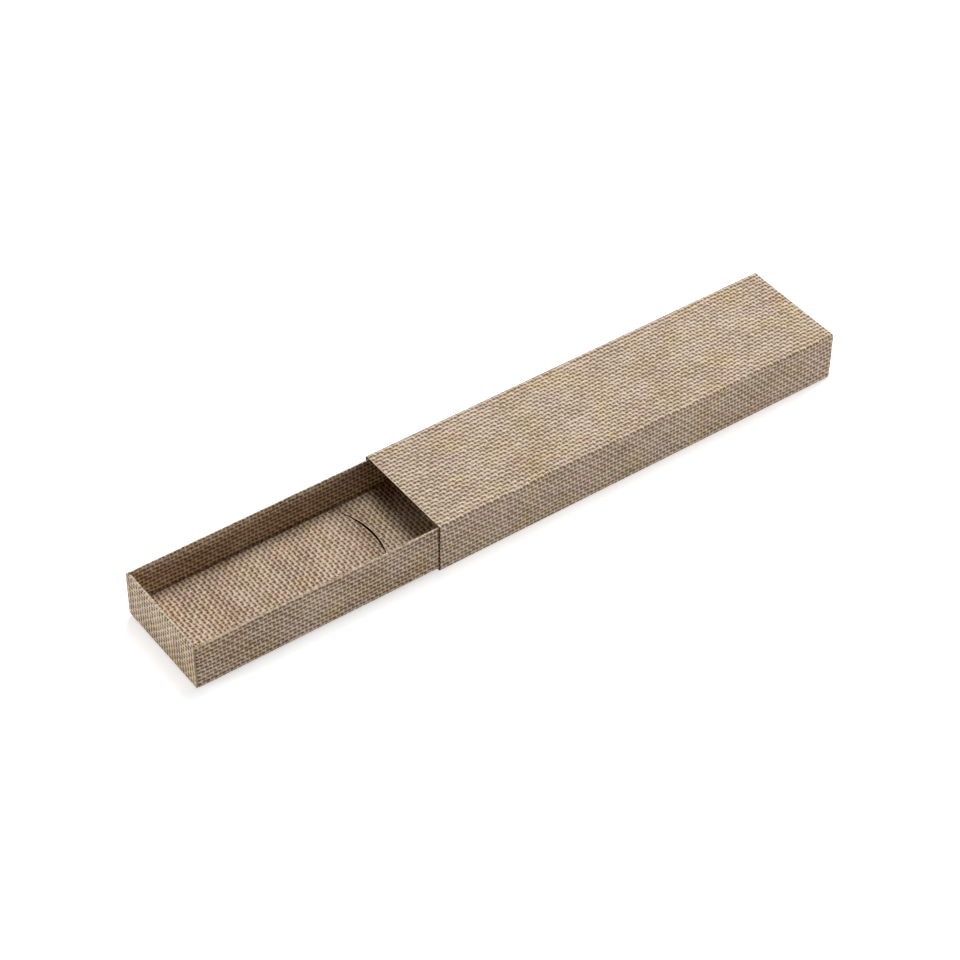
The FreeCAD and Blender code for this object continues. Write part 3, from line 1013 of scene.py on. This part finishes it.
        def tapered(u: float, v: float) -> Place:
            """Chamfer the tab's free corners.

            Args:
                u: a place's height.
                v: how far it is round the corner, from the long wall.

            Returns:
                The place, moved to the die's line.
            """
            cut = max(0.0, v - taper_from)
            if not cut or not self.tab_low <= u <= self.tab_high:
                return u, v
            return min(max(u, self.tab_low + cut), self.tab_high - cut), v

        def print_at(u: float, v: float) -> Place:
            """Carry on from the long wall."""
            across = self.wall_foot[side] + side.value * (u - self.fold)
            return end.value * (self.side_start + v), -across

        # Upright creases: the strip's X turns to +Z, its Y to -X and its Z to -Y
        upright = Matrix(((0.0, -1.0, 0.0), (0.0, 0.0, -1.0), (1.0, 0.0, 0.0))).to_euler()
        return Strip(
            creases, with_marks([*self.wall_levels, self.ear_top], [self.height - self.side_rim]),
            creases.stations(self.spacing, [self.slot_in - self.side_start, taper_from]),
            print_at, keep, tapered, turn=tuple(upright), mirror=(-end.value, -side.value, 1.0),
            place=(end.value * self.side_start, side.value * self.half_width, 0.0))

    def build(self) -> Piece:
        """Fold the tray's sheet.

        Returns:
            The tray, riding on its body.
        """
        strips = [self.long_strip()]
        for end in Wall:
            strips += self.end_strips(end)
            strips += [self.corner_strip(end, side) for side in Wall]
        piece = self.folded("tray_sheet", strips)
        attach(piece, "tray")
        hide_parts(*self.nodes)
        return piece


@dataclass
class Insert(FoldedPart):
    """The platform on four folded legs, with the crescent slit that frees its tongue."""

    body: str = "insert"
    thinned: float = 0.0
    fold_wear: float = 0.5
    slit_gap: float = 0.5 * MM
    lip: float = 0.25 * MM  # how far the paper beside the slit is painted pale: rubbed paper and painted highlight of its edge
    lip_wear: float = 0.6
    lip_fade: float = 2.0  # how soon the wear sets in from the slit's ends
    root_depth: float = 2.0 * MM  # how far behind the slit's ends the tongue starts to bend
    root_flat: float = 0.2 * MM  # of the tongue, before its curve
    tongue_bend: float = 22.0 * MM  # radius of its curve
    tongue_drop: float = 14.0  # degrees
    slit_spacing: float = 1.2 * MM  # of the mesh's lines at the slit

    def __post_init__(self) -> None:
        """Take the slit's place from the frame."""
        super().__post_init__()
        hinge = next(j for j in frame["joints"] if j["name"] == "tongue_flex")
        tongue_low, tongue_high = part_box("insert_tongue")
        self.crease = hinge["pos_m"][0] - self.middle.x
        self.slit_middle = hinge["pos_m"][1] - self.middle.y
        self.half_chord = (tongue_high.y - tongue_low.y) / 2
        self.rise = tongue_high.x - hinge["pos_m"][0] + self.slit_gap / 2

    def bulge(self, across: float) -> float:
        """How full the slit's bow is at a place across, 1 in the middle and 0 at its ends."""
        share = (across - self.slit_middle) / self.half_chord
        return max(0.0, 1 - share * share)

    def slit(self, across: float, side: Wall) -> float:
        """The slit's edge along X, on the tongue's side or the platform's."""
        bulge = self.bulge(across)
        return self.crease + self.rise * bulge + side.value * self.slit_gap / 2 * bulge ** 0.5

    def root(self, across: float) -> float:
        """The line along X where the tongue leaves the platform."""
        return self.crease - self.root_depth * self.bulge(across)

    def platform_strip(self) -> Strip:
        """The platform with both long legs, open where the tongue lies.

        Returns:
            The strip that runs the insert's length.
        """
        w, h = self.half_width, self.height
        creases = Creases([
            (-w, 0.0, 0.0), (-w, h, self.fold), (w, h, self.fold), (w, 0.0, 0.0)],
            wear=self.fold_wear)
        top_middle = creases.length() / 2
        self.chord = spread(
            self.slit_middle - self.half_chord, self.slit_middle + self.half_chord,
            self.slit_spacing)
        back, front = self.crease - self.root_depth, self.crease + self.rise
        lips = (front, front + self.lip, front + 2 * self.lip)
        lines = [
            *spread(-self.flat_end, back, self.spacing), *lips[:2],
            *spread(lips[2], self.flat_end, self.spacing)]

        def shaped(u: float, v: float) -> Place:
            """Bend the lines beside the tongue to its root and to the slit.

            Args:
                u: a place along the insert.
                v: a place across its creases.

            Returns:
                The place, moved to the line of the root or the slit.
            """
            across = v - top_middle
            if abs(u - back) < JOIN_DISTANCE:
                return self.root(across), v
            if u in lips:
                return self.slit(across, Wall.HIGH) + u - front, v
            return u, v

        def rubbed(u: float, v: float) -> float:
            """The paper along the slit's free edge is painted pale: rubbed paper and painted highlight.

            Args:
                u: a place along the insert.
                v: a place across its creases.

            Returns:
                The share that is painted pale.
            """
            across = v - top_middle
            beside = u - self.slit(across, Wall.HIGH)
            at_lip = -JOIN_DISTANCE < beside < self.lip + JOIN_DISTANCE
            return self.lip_wear * min(1.0, self.lip_fade * self.bulge(across)) * at_lip

        return Strip(
            creases, lines, creases.stations(self.spacing, [top_middle + y for y in self.chord]),
            print_at=lambda u, v: (u, v - top_middle),
            keep=lambda u, v: not back < u < front, shape=shaped, rubbed=rubbed)

    def end_leg(self, end: Wall) -> Strip:
        """A short leg, folded down from the platform's end.

        Args:
            end: the front or the rear end.

        Returns:
            The strip across that end.
        """
        creases = Creases([
            (0.0, self.height, 0.0), (self.fold + HAIR, self.height, self.fold),
            (self.fold, 0.0, 0.0)], wear=self.fold_wear)
        flat = self.half_width - self.fold
        lines = with_marks(spread(-flat, flat, self.spacing), self.chord)
        return self.across_end(end, Strip(
            creases, lines, creases.stations(self.spacing),
            print_at=lambda u, v: (end.value * (self.flat_end + v), u)))

    def tongue_strip(self) -> Strip:
        """The tongue, which curves down from its root.

        Returns:
            The strip, whose single bend runs across the insert.
        """
        start = self.crease - self.root_depth
        reach = self.root_depth + self.rise
        drop = math.radians(self.tongue_drop)
        bend = self.tongue_bend * math.tan(drop / 2) + self.root_flat
        creases = Creases([
            (0.0, 0.0, 0.0), (-bend, 0.0, self.tongue_bend),
            (-bend - reach * math.cos(drop), -reach * math.sin(drop), 0.0)])

        def shaped(u: float, v: float) -> Place:
            """Cut the grid to the root's line and the slit's."""
            low, high = self.root(u), self.slit(u, Wall.LOW)
            return u, low + (high - low) * v / reach - start

        return Strip(
            creases, self.chord, spread(0.0, reach, self.slit_spacing / 2),
            print_at=lambda u, v: (start + v, u), shape=shaped, turn=QUARTER_TURN,
            place=(start, 0.0, self.height))

    def build(self) -> list[Piece]:
        """Fold the insert's sheet, with its tongue as a piece of its own.

        Returns:
            The insert, riding on its body, and the tongue, with its place baked into its mesh.
        """
        strips = [self.platform_strip(), *(self.end_leg(end) for end in Wall)]
        platform = self.folded("insert_sheet", strips)
        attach(platform, "insert")
        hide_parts(*self.nodes)
        tongue = self.folded("insert_tongue_flap", [self.tongue_strip()])
        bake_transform(tongue)
        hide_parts("insert_tongue")
        return [platform, tongue]


@dataclass(frozen=True)
class SoftLight:
    """A rectangular softbox that faces the object."""

    name: str
    place: Triple
    width: float
    height: float
    power: float  # W
    glare: bool = True  # off for a polarised light, whose gloss the board doesn't show

    def hang(self, aim: Vector) -> None:
        """Put the light in the scene.

        Args:
            aim: the point that it faces.
        """
        data = configured(
            bpy.data.lights.new(self.name, "AREA"), shape="RECTANGLE", size=self.width,
            size_y=self.height, energy=self.power)
        gaze = (aim - Vector(self.place)).to_track_quat("-Z", "Y")
        configured(
            linked(self.name, data), visible_glossy=self.glare, location=self.place,
            rotation_euler=gaze.to_euler())


@dataclass
class Studio:
    """A white floor and room, two softboxes overhead, three fill lights, and the camera."""

    camera_place: Triple = (-496.5, -600.5, 698.5)  # mm
    camera_aim: Triple = (-56.115, -1.573, 10.0)  # mm, near the middle of the drawn-out box
    camera_roll: float = 0.62  # degrees
    lens: float = 108.49  # mm on a 36 mm sensor
    sight: Place = (0.05, 20.0)  # the nearest and the farthest that the camera sees
    floor_size: float = 8.0
    room: float = 0.01  # brightness of the white room
    floor_drop: float = 0.02 * MM  # under the box, so that the two don't share a plane
    floor_glow: float = 0.65  # round the box, where its shadow has to show
    glow_reach: Place = (0.45, 1.2)  # where the floor turns as white as the room, going out
    lights: tuple[SoftLight, ...] = (
        SoftLight("overhead_softbox", (0.13, 0.16, 1.3), 0.47, 0.75, 7.0),
        SoftLight("rear_softbox", (0.24, 0.45, 1.3), 0.25, 0.4, 2.7),
        SoftLight("left_fill", (-1.58, 0.3, 0.26), 0.32, 0.36, 10.3, glare=False),
        SoftLight("front_strip", (0.7, -1.45, 0.12), 1.2, 0.2, 7.9, glare=False),
        SoftLight("right_fill", (1.3, 0.3, 0.9), 0.8, 0.8, 13.8))

    def build(self) -> None:
        """Make the floor, the room, the lights and the camera."""
        self._floor()
        self._world()
        aim = Vector(self.camera_aim) * MM
        for light in self.lights:
            light.hang(aim)
        place = Vector(self.camera_place) * MM
        data = configured(
            bpy.data.cameras.new("camera"), lens=self.lens, clip_start=self.sight[0],
            clip_end=self.sight[1])
        gaze = (aim - place).to_track_quat("-Z", "Y")
        roll = Euler((0.0, 0.0, math.radians(self.camera_roll))).to_quaternion()
        bpy.context.scene.camera = configured(
            linked("camera", data), location=place, rotation_euler=(gaze @ roll).to_euler())

    def _floor(self) -> None:
        """A white floor that keeps the object's shadow and shows white round it."""
        mesh = bpy.data.meshes.new("floor")
        half, level = self.floor_size / 2, -self.floor_drop
        corners = ((-half, -half), (half, -half), (half, half), (-half, half))
        mesh.from_pydata([(*corner, level) for corner in corners], [], [(0, 1, 2, 3)])
        material = bpy.data.materials.new("white_sweep")
        add = started(material)
        paper = add("BsdfDiffuse")
        where = add("TexCoord")
        away = add("VectorMath", (where.outputs["Object"],), operation="LENGTH")
        white = add("MapRange", {
            "Value": away.outputs["Value"], **span("From", self.glow_reach),
            "To Min": self.floor_glow})
        strength = add("Math", (self._seen(add), white), operation="MULTIPLY")
        glow = add("Emission", {"Strength": strength})
        add("OutputMaterial", {"Surface": add("AddShader", (paper, glow))})
        mesh.materials.append(material)
        linked("floor", mesh)

    def _world(self) -> None:
        """An even white room, which the camera sees as white."""
        bpy.context.scene.world = bpy.data.worlds.new("white_room")
        add = started(bpy.context.scene.world)
        strength = add("MapRange", {"Value": self._seen(add), "To Min": self.room})
        light = add("Background", {"Color": linear("#ffffff"), "Strength": strength})
        add("OutputWorld", {"Surface": light})

    def _seen(self, add: Adder) -> Node:
        """Tell the rays that show a surface to the camera from those that only light.

        Args:
            add: adds a node to the material or the world.

        Returns:
            1 for a ray that shows, and 0 for one that lights.
        """
        ray = add("LightPath").outputs
        seen = add("Math", (ray["Is Camera Ray"], ray["Is Glossy Ray"]), operation="MAXIMUM")
        return add("Math", (seen, ray["Is Transmission Ray"]), operation="MAXIMUM")


def main() -> None:
    """Build the three sheets and the studio round them."""
    logging.basicConfig(level=logging.INFO, format="%(name)s: %(message)s")
    bpy.context.scene.view_settings.view_transform = "Standard"
    tree = folding_tree()
    back = BoardFibre("unprinted_board_back", "#cfc4b0", "#b9aa92").material()
    # Painted shade: the sleeve's cut edges are a kraft brown darkened further, so that they carry the
    # shade of the gap between sleeve and tray at the mouth.
    sleeve_cut_and_gap_shade = BoardFibre("sleeve_mouth_edge", "#665440", "#4b3b29", grain=(0.35, 0.35, 0.08))
    tray_cut = replace(sleeve_cut_and_gap_shade, name="rubbed_tray_edge", pale="#bfae98", dark="#a6937b")
    # Painted shade: the insert's cut edges are a dark brown, so that the slit shows as a dark gap in
    # shade along its whole length.
    insert_cut_and_slit_shade = replace(sleeve_cut_and_gap_shade, name="browned_slit_edge", pale="#66472a", dark="#4d3217")
    sleeve_print = WovenPrint("woven_print_on_sleeve_board", offset=-0.52)
    tray_print = replace(
        sleeve_print, name="woven_print_on_tray_board", offset=31.23, skew=2.0, clouding=0.15,
        gap="#715a42", thread_low="#a48e77", thread_high="#dac4ab", thread_crown="#ecddc9")
    insert_print = replace(
        sleeve_print, name="woven_print_on_insert_board", turn=90.0, offset=58.3,
        skew=4.3, clouding=0.12, gap="#745c45", thread_low="#aa917b", thread_high="#dcc5ac",
        mauve="#ccb3bb", tint_share=0.4)

    def finishes(printed: Paper, cut: Paper) -> Finishes:
        """The materials of a sheet, with the plain back that all three sheets share."""
        return {Side.PRINTED: printed.material(), Side.PLAIN: back, Side.CUT: cut.material()}

    made = [
        Sleeve(tree, finishes(sleeve_print, sleeve_cut_and_gap_shade)).build(),
        Tray(tree, finishes(tray_print, tray_cut)).build(),
        *Insert(tree, finishes(insert_print, insert_cut_and_slit_shade)).build()]
    for piece in made:
        size = [round(extent / MM, 2) for extent in piece.dimensions]
        log.info("%s: %d faces, %s mm", piece.name, len(piece.data.polygons), size)
    Studio().build()


if __name__ == "__main__":
    main()
